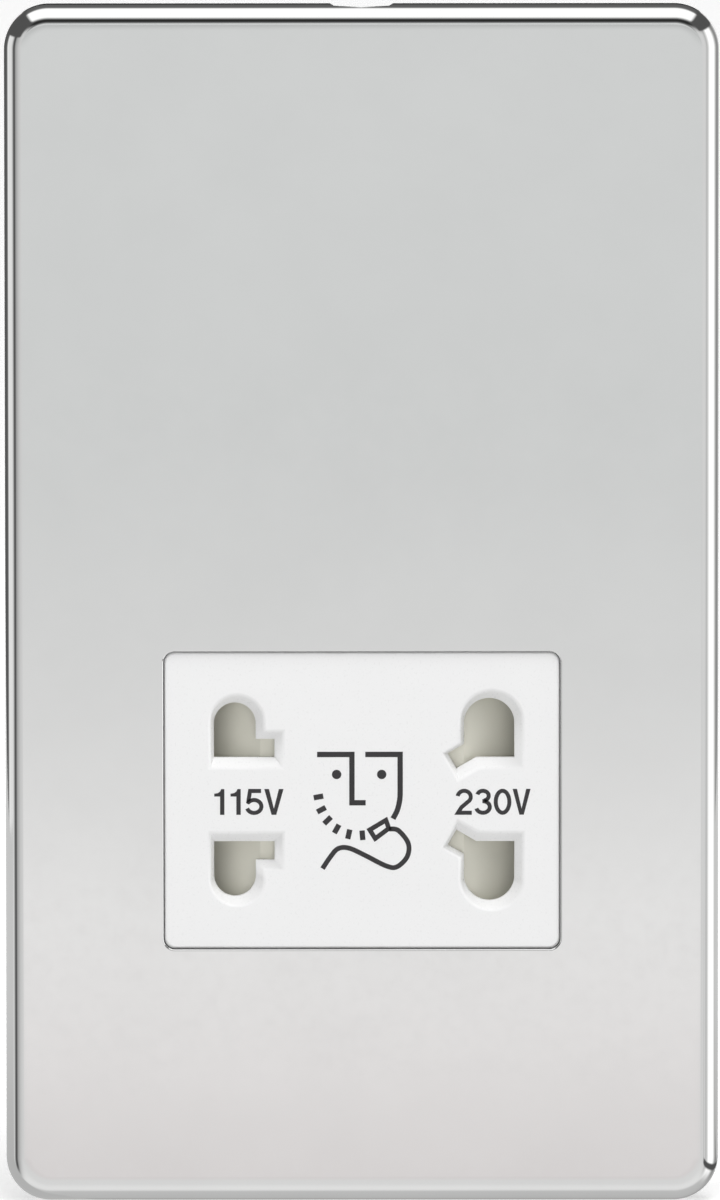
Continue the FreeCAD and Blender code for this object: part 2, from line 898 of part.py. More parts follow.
def make_core_i_stack():
    split = core_height / 2 - core_leg
    bar = block(-core_width / 2, core_width / 2, core_front, core_back, split, core_height / 2)
    return bar.cut(core_holes())


def coil_slab(half_width, y_low, y_high, radius, z_low, z_high):
    """A plate across the coil's axis, with rounded corners."""
    plain = block(-half_width, half_width, y_low, y_high, z_low, z_high)
    return plain.makeFillet(radius, edges_along(plain, along_z))


def make_winding_bobbin():
    tall = bobbin_half_height
    tube = block(-tube_half_width, tube_half_width, tube_front, tube_back, -tall, tall)
    flanges = []
    for low in (-tall, -bobbin_wall / 2, tall - bobbin_wall):
        flanges.append(
            coil_slab(
                bobbin_half_width,
                bobbin_front,
                bobbin_back,
                bobbin_corner_radius,
                low,
                low + bobbin_wall,
            )
        )
    shelf = block(
        -tag_shelf_width / 2,
        tag_shelf_width / 2,
        bobbin_front,
        bobbin_front + tag_shelf_depth,
        -tall - tag_shelf_height,
        -tall + bobbin_wall / 2,
    )
    leg_space = block(
        -core_leg - bobbin_fit,
        core_leg + bobbin_fit,
        core_front - bobbin_fit,
        core_back + bobbin_fit,
        -core_height,
        core_height,
    )
    cuts = [leg_space] + make_transformer_tags()
    return joined([tube, shelf] + flanges).cut(cuts).Solids[0]


def make_winding(z_low, z_high):
    outside = coil_slab(
        bobbin_half_width - winding_inset,
        winding_front,
        bobbin_back - winding_inset,
        winding_corner_radius,
        z_low + winding_gap,
        z_high - winding_gap,
    )
    inside = block(
        -tube_half_width - winding_gap,
        tube_half_width + winding_gap,
        tube_front - winding_gap,
        tube_back + winding_gap,
        z_low - 1,
        z_high + 1,
    )
    return outside.cut(inside)


def make_transformer_tags():
    """A row of solder tags that stand in the bobbin's shelf and point down."""
    shelf_low = -bobbin_half_height - tag_shelf_height
    y = bobbin_front + tag_shelf_depth / 2
    tags = []
    for index in range(tag_count):
        x = (index - (tag_count - 1) / 2) * tag_pitch
        tags.append(
            block(
                x - tag_width / 2,
                x + tag_width / 2,
                y - tag_thickness / 2,
                y + tag_thickness / 2,
                shelf_low + tag_embed - tag_length,
                shelf_low + tag_embed,
            )
        )
    return tags


def make_core_screws():
    return at_corners(
        lambda x, z: screw_y(
            x,
            z,
            core_front,
            1,
            core_screw_radius,
            core_screw_head_radius,
            core_screw_head_height,
            core_stack + core_screw_reach,
        ),
        core_screw_x,
        core_screw_z,
    )


def make_thermal_cutout():
    """A flat overheat cut-out on the front of the primary winding."""
    place = -bobbin_half_height / 2
    body = block(
        -cutout_width / 2,
        cutout_width / 2,
        winding_front - cutout_thickness,
        winding_front,
        place - cutout_height / 2,
        place + cutout_height / 2,
    )
    return body.makeFillet(cutout_edge_radius, edges_along(body, along_y))


def make_rear_housing():
    """A stepped box: deep over the transformer, shallow behind the socket, open at the front."""
    half_width = housing_width / 2
    half_height = housing_height / 2
    rise = housing_step_high - housing_step_low
    run = housing_deep - housing_shallow
    outside_corners = [
        (0, -half_height),
        (housing_shallow, -half_height),
        (housing_shallow, housing_step_low),
        (housing_deep, housing_step_high),
        (housing_deep, half_height),
        (0, half_height),
    ]
    outside = extrude_yz(outside_corners, -half_width, half_width)
    outside = outside.makeFillet(housing_corner_radius, edges_along(outside, along_y))
    rear_edges = [edge for edge in outside.Edges if edge.BoundBox.YMin > housing_shallow - housing_edge_bevel]
    outside = outside.makeChamfer(housing_edge_bevel, rear_edges)
    step_slope = rise / run
    step_lift = housing_wall * math.hypot(run, rise) / run - housing_wall * step_slope
    inside_half_height = half_height - housing_wall
    inside_corners = [
        (-1, -inside_half_height),
        (shallow_inside, -inside_half_height),
        (shallow_inside, housing_step_low + step_lift),
        (deep_inside, housing_step_high + step_lift),
        (deep_inside, inside_half_height),
        (-1, inside_half_height),
    ]
    inside = extrude_yz(inside_corners, housing_wall - half_width, half_width - housing_wall)
    bosses = at_corners(
        lambda x, z: rod_y(x, z, housing_boss_radius, 0, housing_boss_depth),
        housing_screw_x,
        housing_screw_z,
    )
    pillars = at_corners(
        lambda x, z: rod_y(x, z + transformer_rise, pillar_radius, core_back, housing_deep),
        core_screw_x,
        core_screw_z,
    )
    for x in (-block_screw_x, block_screw_x):
        boss_front = shallow_inside - block_boss_height
        bosses.append(rod_y(x, block_middle_z, block_boss_radius, boss_front, housing_shallow))
    shell = outside.cut(inside)
    stiff = [shape.common(outside) for shape in bosses + pillars]
    housing = joined([shell] + stiff)
    pilot = housing_screw_radius + pilot_gap
    cuts = at_corners(
        lambda x, z: rod_y(x, z, pilot, -1, housing_boss_depth - housing_wall / 2),
        housing_screw_x,
        housing_screw_z,
    )
    core_pilot = core_screw_radius + pilot_gap
    core_pilot_end = core_back + core_screw_reach + housing_wall / 2
    cuts += at_corners(
        lambda x, z: rod_y(x, z + transformer_rise, core_pilot, core_back - 1, core_pilot_end),
        core_screw_x,
        core_screw_z,
    )
    for x in (-block_screw_x, block_screw_x):
        cuts.append(
            rod_y(
                x,
                block_middle_z,
                block_screw_radius + pilot_gap,
                housing_shallow - block_screw_reach,
                housing_shallow + 1,
            )
        )
    for x in terminal_places():
        cuts.append(terminal_tail_slot(x, shallow_inside - 1, housing_shallow + 1))
    return housing.cut(cuts).Solids[0]


def terminal_places():
    return [(index - (terminal_ways - 1) / 2) * terminal_pitch for index in range(terminal_ways)]


def terminal_tail(x, y_low, y_high, gap):
    """The flat tail of a terminal, with an even gap around it where it is used as a cut."""
    return block(
        x - terminal_tail_width / 2 - gap,
        x + terminal_tail_width / 2 + gap,
        y_low,
        y_high,
        block_middle_z - terminal_tail_thickness / 2 - gap,
        block_middle_z + terminal_tail_thickness / 2 + gap,
    )


def terminal_tail_slot(x, y_low, y_high):
    return terminal_tail(x, y_low, y_high, pillar_block_fit)


def make_terminal_block():
    """A moulding with a chamber for each terminal, open below for the wire and behind for the screw."""
    body = block(
        -block_width / 2, block_width / 2, housing_shallow, block_back, block_low, block_high
    )
    body = body.makeFillet(block_edge_radius, edges_along(body, along_y))
    body = body.makeChamfer(block_edge_bevel, edges_at(body, block_back))
    ear_reach = block_width / 2 + block_ear_length
    ears = block(
        -ear_reach,
        ear_reach,
        housing_shallow,
        housing_shallow + block_ear_thickness,
        block_middle_z - block_ear_height / 2,
        block_middle_z + block_ear_height / 2,
    )
    ears = ears.makeFillet(block_ear_height / 3, edges_along(ears, along_y))
    moulding = joined([body, ears])
    cuts = []
    fit = pillar_block_fit
    for x in terminal_places():
        half = pillar_block_width / 2 + fit
        cuts.append(block(x - half, x + half, pillar_front, block_back + 1, block_low - 1, pillar_high + fit))
        cuts.append(terminal_tail_slot(x, housing_shallow - 1, pillar_front + 1))
    hole = block_screw_radius + block_screw_hole_gap
    for x in (-block_screw_x, block_screw_x):
        cuts.append(rod_y(x, block_middle_z, hole, housing_shallow - 1, block_back))
    return moulding.cut(cuts).Solids[0]


def make_block_screws():
    head_y = housing_shallow + block_ear_thickness
    reach = block_ear_thickness + block_screw_reach - housing_wall / 2
    screws = []
    for x in (-block_screw_x, block_screw_x):
        screws.append(
            screw_y(
                x,
                block_middle_z,
                head_y,
                -1,
                block_screw_radius,
                block_screw_head_radius,
                block_screw_head_height,
                reach,
            )
        )
    return screws


def make_terminal_pillars():
    """Brass pillars with a wire bore from below, a screw hole from behind and a tail into the housing."""
    pillars = []
    for x in terminal_places():
        half = pillar_block_width / 2
        body = block(x - half, x + half, pillar_front, pillar_back, pillar_low, pillar_high)
        tail = terminal_tail(x, tail_end, wire_y - wire_bore_radius - 1, 0)
        bore = rod_z(x, wire_y, wire_bore_radius, pillar_low - 1, pillar_low + wire_bore_depth)
        screw_hole = terminal_screw_radius + terminal_screw_gap
        thread = rod_y(x, terminal_screw_z, screw_hole, wire_y, pillar_back + 1)
        pillars.append(joined([body, tail]).cut([bore, thread]).Solids[0])
    return pillars


def make_terminal_screws():
    """Clamp screws, backed out so that the wire bores are clear."""
    screws = []
    for x in terminal_places():
        screws.append(
            screw_y(
                x,
                terminal_screw_z,
                terminal_head,
                -1,
                terminal_screw_radius,
                terminal_screw_head_radius,
                terminal_screw_head_height,
                terminal_head - terminal_tip,
            )
        )
    return screws


def make_earth_strap():
    """A bent strip from the middle terminal's tail, up the housing and forward to the steel frame."""
    half = strap_thickness / 2
    path = [
        (strap_back - half, block_middle_z + terminal_tail_thickness / 2),
        (strap_back - half, strap_shelf + half),
        (half, strap_shelf + half),
        (half, strap_shelf + strap_foot),
    ]
    strap = bent_strip(path, strap_thickness, -strap_width / 2, strap_width / 2)
    hole = rod_y(0, strap_shelf + strap_foot / 2, rivet_radius + rivet_hole_gap, -1, strap_thickness + 1)
    return strap.cut(hole)


def make_earth_rivet():
    z = strap_shelf + strap_foot / 2
    shank = rod_y(0, z, rivet_radius, frame_front, strap_thickness)
    front_head = rod_y(0, z, rivet_head_radius, frame_front - rivet_head_height, frame_front)
    back_head = rod_y(0, z, rivet_head_radius, strap_thickness, strap_thickness + rivet_head_height)
    return joined([shank, front_head, back_head])


def make_housing_screws():
    return at_corners(
        lambda x, z: screw_y(
            x,
            z,
            frame_front,
            1,
            housing_screw_radius,
            housing_screw_head_radius,
            housing_screw_head_height,
            frame_sheet + housing_screw_reach,
        ),
        housing_screw_x,
        housing_screw_z,
    )


os.makedirs("parts", exist_ok=True)

keep("front_plate", [make_front_plate()])
keep("clip_frame", [make_clip_frame()])
keep("mounting_frame", [make_mounting_frame()])
keep("socket_front", [at_socket(make_socket_front())])

shutter = at_socket(make_shutter())
keep("shutter_230", [shutter])
keep("shutter_115", [mirrored_x(shutter)])
spring = at_socket(make_shutter_spring())
keep("shutter_spring_230", [spring])
keep("shutter_spring_115", [mirrored_x(spring)])

switch = at_socket(make_switch())
keep("switch_body_230", [switch])
keep("switch_body_115", [mirrored_x(switch)])
plunger = at_socket(make_plunger())
keep("switch_plunger_230", [plunger])
keep("switch_plunger_115", [mirrored_x(plunger)])
tags = [at_socket(tag) for tag in make_switch_tags()]
keep("switch_tags", tags + [mirrored_x(tag) for tag in tags])

keep("socket_base", [at_socket(make_socket_base())])
keep("base_screws", [at_socket(screw) for screw in make_base_screws()])
contact = make_contact()
lower_contact = mirrored_z(contact)
keep("contact_230_upper", [at_socket(contact)])
keep("contact_230_lower", [at_socket(lower_contact)])
keep("contact_115_upper", [at_socket(mirrored_x(contact))])
keep("contact_115_lower", [at_socket(mirrored_x(lower_contact))])

keep("core_e_stack", [at_transformer(make_core_e_stack())])
keep("core_i_stack", [at_transformer(make_core_i_stack())])
keep("winding_bobbin", [at_transformer(make_winding_bobbin())])
lower_end = bobbin_wall - bobbin_half_height
keep("primary_winding", [at_transformer(make_winding(lower_end, -bobbin_wall / 2))])
keep("secondary_winding", [at_transformer(make_winding(bobbin_wall / 2, -lower_end))])
keep("transformer_tags", [at_transformer(tag) for tag in make_transformer_tags()])
keep("core_screws", [at_transformer(screw) for screw in make_core_screws()])
keep("thermal_cutout", [at_transformer(make_thermal_cutout())])

keep("rear_housing", [make_rear_housing()])
keep("housing_screws", make_housing_screws())
keep("terminal_block", [make_terminal_block()])
keep("block_screws", make_block_screws())
keep("terminal_pillars", make_terminal_pillars())
keep("terminal_screws", make_terminal_screws())
keep("earth_strap", [make_earth_strap()])
keep("earth_rivet", [make_earth_rivet()])
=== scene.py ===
import json
import math

import bmesh
import bpy
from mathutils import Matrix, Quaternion, Vector


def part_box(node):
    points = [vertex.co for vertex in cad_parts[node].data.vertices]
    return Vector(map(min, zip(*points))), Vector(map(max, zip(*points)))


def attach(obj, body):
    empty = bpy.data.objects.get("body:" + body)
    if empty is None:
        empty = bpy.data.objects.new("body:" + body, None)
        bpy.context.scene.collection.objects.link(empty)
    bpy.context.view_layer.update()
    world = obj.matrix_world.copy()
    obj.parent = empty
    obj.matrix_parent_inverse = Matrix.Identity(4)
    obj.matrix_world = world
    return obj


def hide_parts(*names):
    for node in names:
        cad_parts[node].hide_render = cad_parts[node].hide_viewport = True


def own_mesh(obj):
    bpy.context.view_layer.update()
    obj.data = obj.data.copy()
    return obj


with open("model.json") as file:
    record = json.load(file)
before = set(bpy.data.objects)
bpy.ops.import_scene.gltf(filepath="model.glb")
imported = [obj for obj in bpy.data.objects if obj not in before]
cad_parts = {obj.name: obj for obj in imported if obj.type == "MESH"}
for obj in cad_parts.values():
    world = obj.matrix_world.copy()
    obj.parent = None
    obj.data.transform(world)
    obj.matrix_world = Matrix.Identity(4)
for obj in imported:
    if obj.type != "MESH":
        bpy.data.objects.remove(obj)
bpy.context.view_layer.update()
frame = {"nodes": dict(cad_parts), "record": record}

# Metres. X runs to the right, Y into the wall, Z up, as in the frame.
mm = 0.001

# Edges sharper than these angles stay sharp when a mesh is shaded smooth.
piece_crease = math.radians(35)
node_crease = math.radians(30)

# Front plate.
plate_edge_radius = 2.2 * mm
plate_edge_lead = 1.0 * mm
plate_edge_lead_slope = math.radians(2.0)
plate_corner_radius = 5.5 * mm
plate_sheet = 1.0 * mm
plate_weld = 0.0001 * mm
window_width = 49.0 * mm
window_height = 36.9 * mm
window_corner_radius = 1.4 * mm
window_roll = 0.2 * mm
notch_half_width = 3.9 * mm
notch_slope = 0.5 * mm
notch_front = 1.5 * mm
notch_peak = 0.4 * mm
notch_steps = 4
corner_steps = 24
edge_steps = 24
lead_steps = 8
window_steps = 8

# Socket front.
socket_z = -24.2 * mm
face_y = -4.6 * mm
face_tolerance = 0.02 * mm
socket_weld = 0.001 * mm
socket_flatness = math.radians(4)
mouth_edge_radius = 0.32 * mm
mouth_edge_steps = 4
mouth_margin = 2.0 * mm
mouth_crease = math.radians(20)

# Print, with the step along arcs in degrees.
print_thickness = 0.02 * mm
legend_height = 3.2 * mm
legend_115_x = -14.07 * mm
legend_115_width = 8.77 * mm
legend_230_x = 16.17 * mm
legend_230_width = 9.26 * mm
legend_rise = -0.19 * mm
legend_stroke = 0.5 * mm
legend_arc_step = 9
sign_stroke = 0.66 * mm
cord_stroke = 0.6 * mm
razor_stroke = 0.58 * mm
eyes_x = (-3.13 * mm, 2.43 * mm)
eye_radius = 0.58 * mm
eye_height = 3.21 * mm
eye_steps = 32
dash_length = 1.19 * mm
curve_steps = 8
sharpest_mitre = 0.3

# Return springs.
spring_turns = 9
closed_turns = 0.9
spring_radius = 1.28 * mm
wire_radius = 0.2 * mm
wire_sides = 12
turn_steps = 28

# Finishes. The shutters keep this share of their own colour as painted shade, because they lie deep in the
# apertures.
shutter_painted_shade = 0.85
ink_colour = (0.028, 0.026, 0.028)
noise = "ShaderNodeTexNoise"
noise_low = 0.3
noise_high = 0.7

# Camera, with the sensor in mm.
camera_distance = 2100 * mm
camera_rise = math.radians(5.0)
camera_roll = math.radians(-0.04)
camera_aim_x = -0.23 * mm
camera_aim_z = 0.65 * mm
view_height = 147.9 * mm
sensor_size = 36.0

# Floor, table and backdrop, with the table's start and end in degrees round it.
stage_radius = 4.5
floor_gap = 0.2 * mm
floor_sides = 96
floor_tone = 0.93
floor_swing = 0.01
floor_roughness = 0.6
floor_glow = 0.45
dome_sides = 64
backdrop_tone = 0.97
table_front = 8 * mm
table_half_width = 500 * mm
table_half_depth = 950 * mm
table_start = 96
table_end = 280
table_steps = 48
# The table's glow is darker near the plate as painted shade, and rises between these distances.
table_tone_in_painted_shade = 0.55
table_lift_out_of_painted_shade = 0.16
painted_shade_fade_start = 50 * mm
painted_shade_fade_end = 320 * mm

# Lamps, with their power in watts.
key_place = (0.16, -0.35, 0.95)
key_size = (0.5, 0.5)
key_power = 3.7
fill_place = (-0.15, -1.0, 0.03)
fill_size = (1.5, 0.2)
fill_power = 2.9

# Light from all round. Off-axis values are sines of the angle from straight ahead, and upright values
# are the share of that which points up or down. Limits ahead and of the colours are degrees upwards.
brightest = 1.4
smallest_off_axis = 0.001
ahead_low = -9
ahead_high = 11
ahead_end = (0.125, 0.165)
upright_blend = (0.35, 0.8)
side_blur = 0.02
gap_tone = 0.10
gap_start_upright = 0.3
gap_start_extra = 0.2
gap_end_upright = 0.45
gap_end_extra = 0.38
gap_blur = 0.03
gap_off_axis = (0.3, 0.5)
warm_below = -5.9
warm_blend = 1.1
warm_red = 0.045
cool_above = -5.4
cool_blend = 1.0
cool_red = 0.015

nodes = frame["nodes"]
slots = {part["node"]: part["material_slot"] for part in frame["record"]["subparts"]}
colours = {entry["slot"]: entry["base_color"] for entry in frame["record"]["materials"]}
plate_low, plate_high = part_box("front_plate")


# Meshes.


def smooth(mesh, crease):
    mesh.polygons.foreach_set("use_smooth", [True] * len(mesh.polygons))
    mesh.set_sharp_from_angle(angle=crease)


def new_object(name, bm):
    """A smooth object from a bmesh."""
    bmesh.ops.recalc_face_normals(bm, faces=bm.faces)
    mesh = bpy.data.meshes.new(name)
    bm.to_mesh(mesh)
    bm.free()
    smooth(mesh, piece_crease)
    piece = bpy.data.objects.new(name, mesh)
    bpy.context.scene.collection.objects.link(piece)
    return piece


def shade_evenly(piece):
    """Lets the large flat faces lead the shading, so that narrow rounded edges don't darken them."""
    even = piece.modifiers.new("even_shading", "WEIGHTED_NORMAL")
    even.keep_sharp = True
    even.weight = 100
    return piece


def add_piece(piece, slot, body="socket", stands_for=()):
    """Gives a new piece its finish, ties it to a body, and hides the nodes that it stands for."""
    piece.data.materials.append(finishes[slot])
    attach(piece, body)
    for node in stands_for:
        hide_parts(node)
    return piece


def rounded_loop(half_width, half_height, radius, stops=()):
    """Points (x, z) round a rectangle with round corners: stops on its top side, then the corners."""
    points = [(x, half_height) for x in stops]
    for side_x, side_z, start in ((-1, 1, 90), (-1, -1, 180), (1, -1, 270), (1, 1, 0)):
        for step in range(corner_steps + 1):
            angle = math.radians(start + 90 * step / corner_steps)
            x = side_x * (half_width - radius) + radius * math.cos(angle)
            z = side_z * (half_height - radius) + radius * math.sin(angle)
            points.append((x, z))
    return points


def skin(bm, first, second):
    """Faces between two rings with equally many vertices."""
    count = len(first)
    for i in range(count):
        j = (i + 1) % count
        bm.faces.new((first[i], first[j], second[j], second[i]))


def fill_between(bm, outer, inner):
    """A flat face between two rings in one plane."""
    edges = []
    for loop in (outer, inner):
        for i, vertex in enumerate(loop):
            edges.append(bm.edges.get((vertex, loop[(i + 1) % len(loop)])))
    bmesh.ops.triangle_fill(bm, edges=edges, use_beauty=True)


def roll_inset(depth):
    """How far the plate's rolled edge stands in from its outline, at a depth behind the face."""
    lower = max(0.0, plate_edge_radius - depth)
    return plate_edge_radius - math.sqrt(plate_edge_radius**2 - lower**2)


def notch_end(x, z):
    """How far behind the face the skirt reaches: less in the pry notch of the top side."""
    inner = notch_half_width - notch_slope
    if z < 0 or abs(x) > inner + notch_slope / 2:
        return plate_high.y - plate_low.y
    return notch_front - notch_peak * (1 - abs(x) / inner)


def make_plate():
    """The pressed plate: skirt with a pry notch, rolled edge, flat face, window edge and inside."""
    half_width = plate_high.x
    half_height = plate_high.z
    front = plate_low.y
    skirt = plate_high.y - front
    inner_notch = notch_half_width - notch_slope
    stops = [inner_notch * (1 - step / notch_steps) for step in range(2 * notch_steps + 1)]
    stops = [notch_half_width] + stops + [-notch_half_width]
    bm = bmesh.new()

    def plate_ring(inset, depth, side_inset):
        """A ring round the plate, which stops at the notch's end where it would cross the notch."""
        radius = plate_corner_radius - inset
        found = []
        for x, z in rounded_loop(half_width - inset, half_height - inset, radius, stops):
            reach = min(depth, notch_end(x, z))
            if reach < depth:
                z = half_height - side_inset(reach)
            found.append(bm.verts.new((x, front + reach, z)))
        return found

    outside = [plate_ring(0, skirt, roll_inset)]
    lead_start = plate_edge_radius * (1 - math.sin(plate_edge_lead_slope))
    lead_drop = plate_edge_lead * math.tan(plate_edge_lead_slope) / 2
    for step in range(edge_steps + 1):
        angle = math.radians(90) - (math.radians(90) - plate_edge_lead_slope) * step / edge_steps
        inset = plate_edge_radius * (1 - math.sin(angle))
        depth = lead_drop + plate_edge_radius * (math.cos(plate_edge_lead_slope) - math.cos(angle))
        outside.append(plate_ring(inset, depth, roll_inset))
    for step in range(1, lead_steps + 1):
        share = 1 - step / lead_steps
        inset = lead_start + plate_edge_lead * (1 - share)
        outside.append(plate_ring(inset, lead_drop * share**2, roll_inset))

    def window_ring(grow, depth):
        radius = window_corner_radius + grow
        loop = rounded_loop(window_width / 2 + grow, window_height / 2 + grow, radius)
        return [bm.verts.new((x, front + depth, z + socket_z)) for x, z in loop]

    opening = []
    for step in range(window_steps + 1):
        angle = math.radians(90) * step / window_steps
        grow = window_roll * (1 - math.sin(angle))
        opening.append(window_ring(grow, window_roll * (1 - math.cos(angle))))
    opening.append(window_ring(0, plate_sheet))

    bevel = (plate_edge_radius - plate_sheet) * (2 - math.sqrt(2))

    def inner_inset(depth):
        return plate_sheet + max(0.0, plate_sheet + bevel - depth)

    inside = [
        plate_ring(plate_sheet + bevel, plate_sheet, inner_inset),
        plate_ring(plate_sheet, plate_sheet + bevel, inner_inset),
        plate_ring(plate_sheet, skirt, inner_inset),
    ]
    for rings in (outside, opening, inside):
        for first, second in zip(rings, rings[1:]):
            skin(bm, first, second)
    skin(bm, inside[-1], outside[0])
    fill_between(bm, outside[-1], opening[0])
    fill_between(bm, inside[0], opening[-1])
    bmesh.ops.remove_doubles(bm, verts=bm.verts, dist=plate_weld)
    return shade_evenly(new_object("plate_shell", bm))


def make_socket_front():
    """The CAD socket front, with soft edges where the mouths of its apertures meet the face."""
    bm = bmesh.new()
    bm.from_mesh(nodes["socket_front"].data)
    bmesh.ops.remove_doubles(bm, verts=bm.verts, dist=socket_weld)
    bmesh.ops.dissolve_limit(bm, angle_limit=socket_flatness, verts=bm.verts, edges=bm.edges)

    def on_mouth(vertex):
        across = abs(vertex.co.x) < window_width / 2 - mouth_margin
        along = abs(vertex.co.z - socket_z) < window_height / 2 - mouth_margin
        return across and along and abs(vertex.co.y - face_y) < face_tolerance

    edges = []
    for edge in bm.edges:
        if all(on_mouth(vertex) for vertex in edge.verts) and edge.calc_face_angle(0) > mouth_crease:
            edges.append(edge)
    bmesh.ops.bevel(
        bm,
        geom=edges,
        affect="EDGES",
        offset=mouth_edge_radius,
        offset_type="OFFSET",
        profile=0.5,
        segments=mouth_edge_steps,
        loop_slide=False,
        clamp_overlap=False,
    )
    return shade_evenly(new_object("socket_shell", bm))


def print_vertex(bm, point):
    """A vertex in the plane of the print, at (x, z) from the middle of the socket front."""
    return bm.verts.new((point[0], face_y - print_thickness, socket_z + point[1]))


def flat_strip(bm, points, width, closed=False):
    """A strip of even width along (x, z) points, with mitred corners, in the plane of the print."""
    count = len(points)
    left = []
    right = []
    for i, point in enumerate(points):
        here = Vector(point)
        before = Vector(points[(i - 1) % count]) if closed or i > 0 else None
        after = Vector(points[(i + 1) % count]) if closed or i < count - 1 else None
        into = (here - before).normalized() if before else (after - here).normalized()
        away = (after - here).normalized() if after else into
        mitre = Vector((-into.y - away.y, into.x + away.x)).normalized()
        reach = width / 2 / max(sharpest_mitre, mitre.dot(Vector((-into.y, into.x))))
        left.append(print_vertex(bm, here + mitre * reach))
        right.append(print_vertex(bm, here - mitre * reach))
    for i in range(count if closed else count - 1):
        j = (i + 1) % count
        bm.faces.new((left[i], left[j], right[j], right[i]))


def give_depth(bm):
    """Carries flat print back to just below the surface of the socket front."""
    grown = bmesh.ops.extrude_face_region(bm, geom=bm.faces[:])
    moved = [item for item in grown["geom"] if isinstance(item, bmesh.types.BMVert)]
    bmesh.ops.translate(bm, verts=moved, vec=(0, 2 * print_thickness, 0))


def curve_through(points):
    """A smooth line of points through the given ones."""
    ends = [points[0]] + list(points) + [points[-1]]
    line = []
    for a, b, c, d in zip(ends, ends[1:], ends[2:], ends[3:]):
        for step in range(curve_steps):
            t = step / curve_steps
            place = []
            for p, q, r, s in zip(a, b, c, d):
                bend = (2 * p - 5 * q + 4 * r - s) * t * t + (3 * q - p - 3 * r + s) * t**3
                place.append(0.5 * (2 * q + (r - p) * t + bend))
            line.append(tuple(place))
    line.append(points[-1])
    return line


def make_shaver_sign():
    """The usual sign for a shaver outlet: brows, nose, jaw, stubble, and a shaver on its cord."""

    def sized(points):
        return [(x * mm, z * mm) for x, z in points]

    # Points in mm from the middle of the socket front.
    left_brow_and_nose = [(-5.54, 5.69), (-1.24, 5.69), (-1.24, -0.30), (0.45, -0.30)]
    right_brow = [(0.41, 5.69), (4.71, 5.69)]
    jaw = [(4.71, 1.2), (4.66, 0.1), (4.36, -1.2), (3.82, -2.28)]
    razor = [(0.95, -3.66), (2.95, -2.46), (3.31, -3.48), (1.63, -4.74)]
    cord = [
        (3.35, -3.55),
        (4.48, -3.74),
        (5.70, -5.33),
        (5.57, -6.98),
        (4.32, -8.24),
        (2.99, -8.14),
        (0.35, -6.81),
        (-1.64, -5.92),
        (-2.96, -5.99),
        (-3.89, -6.98),
        (-4.88, -8.47),
    ]
    stubble = [
        (-5.37, 0.43),
        (-5.01, -1.16),
        (-4.25, -2.48),
        (-3.13, -3.54),
        (-1.64, -4.20),
        (0.05, -4.33),
    ]
    stubble_middle = Vector((-0.41, 1.29)) * mm
    bm = bmesh.new()
    flat_strip(bm, sized(left_brow_and_nose), sign_stroke)
    flat_strip(bm, sized(right_brow + curve_through(jaw)), sign_stroke)
    flat_strip(bm, sized(razor), razor_stroke, closed=True)
    flat_strip(bm, sized(curve_through(cord)), cord_stroke)
    for x in eyes_x:
        around = [math.tau * i / eye_steps for i in range(eye_steps)]
        rim = [(x + eye_radius * math.cos(a), eye_height + eye_radius * math.sin(a)) for a in around]
        bm.faces.new([print_vertex(bm, point) for point in rim])
    for place in sized(stubble):
        out = (Vector(place) - stubble_middle).normalized() * dash_length / 2
        flat_strip(bm, [Vector(place) - out, Vector(place) + out], sign_stroke)
    give_depth(bm)
    return new_object("shaver_sign", bm)


def arc(centre_x, centre_z, reach_x, reach_z, start, end):
    """Points along part of an ellipse, between two angles in degrees."""
    count = max(2, round(abs(end - start) / legend_arc_step))
    points = []
    for step in range(count + 1):
        angle = math.radians(start + (end - start) * step / count)
        points.append((centre_x + reach_x * math.cos(angle), centre_z + reach_z * math.sin(angle)))
    return points


def figure_shapes():
    """Plain figures one unit high: the width of each, the middle lines of its strokes, and its outlines."""
    low = 0.075
    high = 1 - low
    one = [
        (0.26, 0),
        (0.41, 0),
        (0.41, 1),
        (0.3, 1),
        (0.26, 0.9),
        (0.18, 0.84),
        (0.06, 0.82),
        (0.06, 0.71),
        (0.26, 0.71),
    ]
    vee = [(0, 1), (0.25, 0), (0.41, 0), (0.66, 1), (0.5, 1), (0.33, 0.24), (0.16, 1)]
    two = arc(0.32, 0.69, 0.24, high - 0.69, 172, -38) + [(0.22, 0.29), (0.09, low), (0.6, low)]
    five = [(0.55, high), (0.17, high), (0.11, 0.5)] + arc(0.31, 0.325, 0.25, 0.325 - low, 138, -162)
    upper_bow = arc(0.31, 0.735, 0.21, high - 0.735, 165, -78)
    lower_bow = arc(0.31, 0.3, 0.25, 0.3 - low, -165, 95)
    nought = arc(0.33, 0.5, 0.25, high - 0.5, 0, 360 - legend_arc_step)
    return {
        "0": (0.7, [nought], []),
        "1": (0.56, [], [one]),
        "2": (0.7, [two], []),
        "3": (0.7, [upper_bow, lower_bow], []),
        "5": (0.66, [five], []),
        "V": (0.66, [], [vee]),
    }


def make_legend(name, words, x, width):
    """Print of plain figures, fitted to a width and the legend height."""
    shapes = figure_shapes()
    span = sum(shapes[character][0] for character in words)
    unit = width / span

    def placed(points, start):
        found = []
        for u, v in points:
            across = x + (start + u - span / 2) * unit
            found.append((across, legend_rise + (v - 0.5) * legend_height))
        return found

    bm = bmesh.new()
    start = 0.0
    for character in words:
        advance, strokes, outlines = shapes[character]
        for stroke in strokes:
            flat_strip(bm, placed(stroke, start), legend_stroke, closed=character == "0")
        for outline in outlines:
            bm.faces.new([print_vertex(bm, point) for point in placed(outline, start)])
        start += advance
    give_depth(bm)
    return new_object(name, bm)


